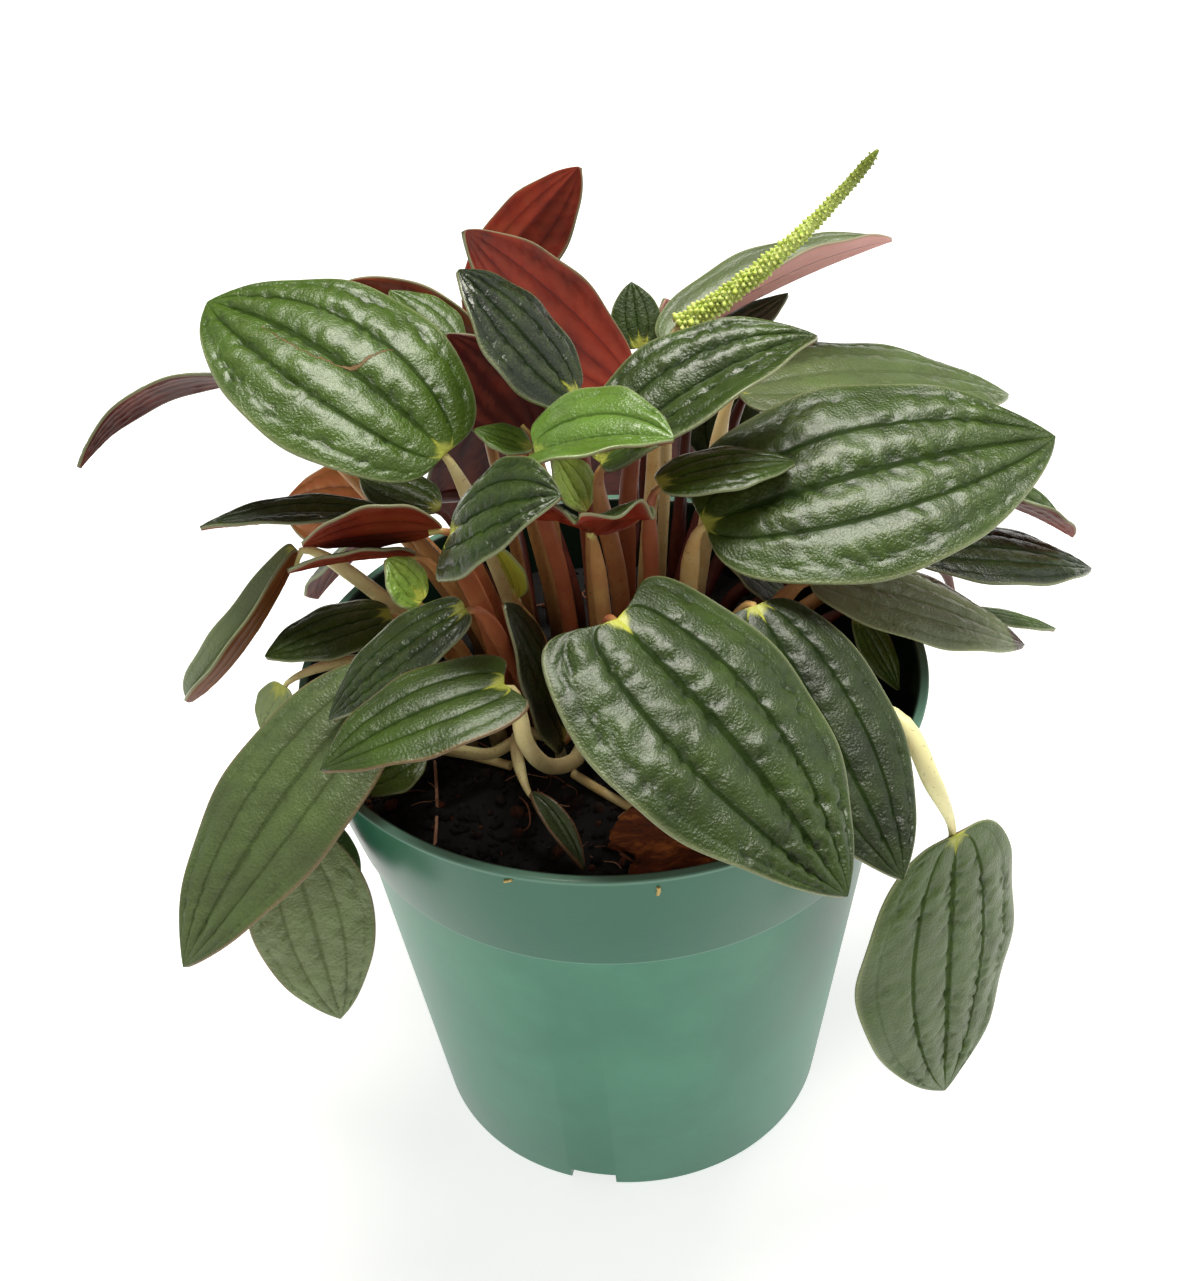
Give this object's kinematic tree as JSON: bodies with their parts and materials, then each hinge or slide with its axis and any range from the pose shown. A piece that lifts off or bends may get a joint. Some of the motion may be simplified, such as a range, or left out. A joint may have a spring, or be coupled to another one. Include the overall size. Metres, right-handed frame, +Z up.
{
  "type": "potted peperomia",
  "caption": "Leafy house plant with furrowed leaves on stalks and one flower spike, rooted in a tapered plastic nursery pot that stands on a table.",
  "frame": {"origin": "middle of the pot's flat underside", "axes": "+Z up, out of the pot; -Y towards the viewer of the picture; +X to the picture's right"},
  "size_m": [0.1805, 0.1464, 0.172],
  "materials": {
    "pot": "satin moulded polypropylene",
    "soil": "dull, loose, slightly damp",
    "bark": "dull, fibrous",
    "spike": "satin, beaded with tiny florets",
    "leaf_mature": "glossy, furrowed",
    "leaf_bright": "glossy, furrowed",
    "leaf_young": "satin, soft"
  },
  "bodies": {
    "root": {"pot": "pot", "soil": "soil", "bark_chip": "bark", "flower_spike": "spike", "leaf_big_left": "leaf_bright", "leaf_big_right": "leaf_mature", "leaf_front_big": "leaf_mature", "leaf_front_second": "leaf_mature", "leaf_hanging_right": "leaf_bright", "leaf_front_left": "leaf_mature", "leaf_left_hanging": "leaf_bright", "leaf_left_behind": "leaf_mature", "leaf_far_left": "leaf_bright", "leaf_sickle": "leaf_mature", "leaf_behind_left": "leaf_mature", "leaf_behind_green": "leaf_bright", "leaf_dark_upright": "leaf_mature", "leaf_maroon": "leaf_mature", "leaf_bright_centre": "leaf_young", "leaf_small_green": "leaf_young", "leaf_centre_right": "leaf_mature", "leaf_behind_right": "leaf_mature", "leaf_right_small": "leaf_mature", "leaf_top_right": "leaf_mature", "leaf_small_back": "leaf_mature", "leaf_red_top": "leaf_mature", "leaf_red_second": "leaf_mature", "leaf_right_mid_back": "leaf_mature", "leaf_right_dark": "leaf_mature", "leaf_right_lower": "leaf_mature", "leaf_right_far": "leaf_mature", "leaf_inner_right": "leaf_mature", "leaf_front_left_mid": "leaf_mature", "leaf_dark_left_mid": "leaf_mature", "leaf_centre_low": "leaf_mature", "leaf_centre_heart": "leaf_mature", "leaf_left_dark_1": "leaf_mature", "leaf_left_red": "leaf_mature", "leaf_left_dark_2": "leaf_mature", "leaf_left_dark_3": "leaf_mature", "leaf_left_pale": "leaf_bright", "leaf_green_young": "leaf_young", "leaf_mid_green": "leaf_mature", "leaf_brown_back": "leaf_mature", "leaf_folded_front": "leaf_mature", "leaf_young_centre": "leaf_young", "leaf_inner_low": "leaf_bright", "leaf_inner_left": "leaf_bright", "leaf_soil_bud": "leaf_bright", "leaf_dark_behind": "leaf_mature", "leaf_back_1": "leaf_mature", "leaf_back_2": "leaf_mature", "leaf_back_3": "leaf_mature", "leaf_back_4": "leaf_mature", "leaf_back_5": "leaf_mature", "leaf_back_6": "leaf_mature", "leaf_shoot_1": "leaf_young", "leaf_shoot_2": "leaf_young", "leaf_pink_back": "leaf_mature", "leaf_back_7": "leaf_mature"}
  },
  "joints": []
}
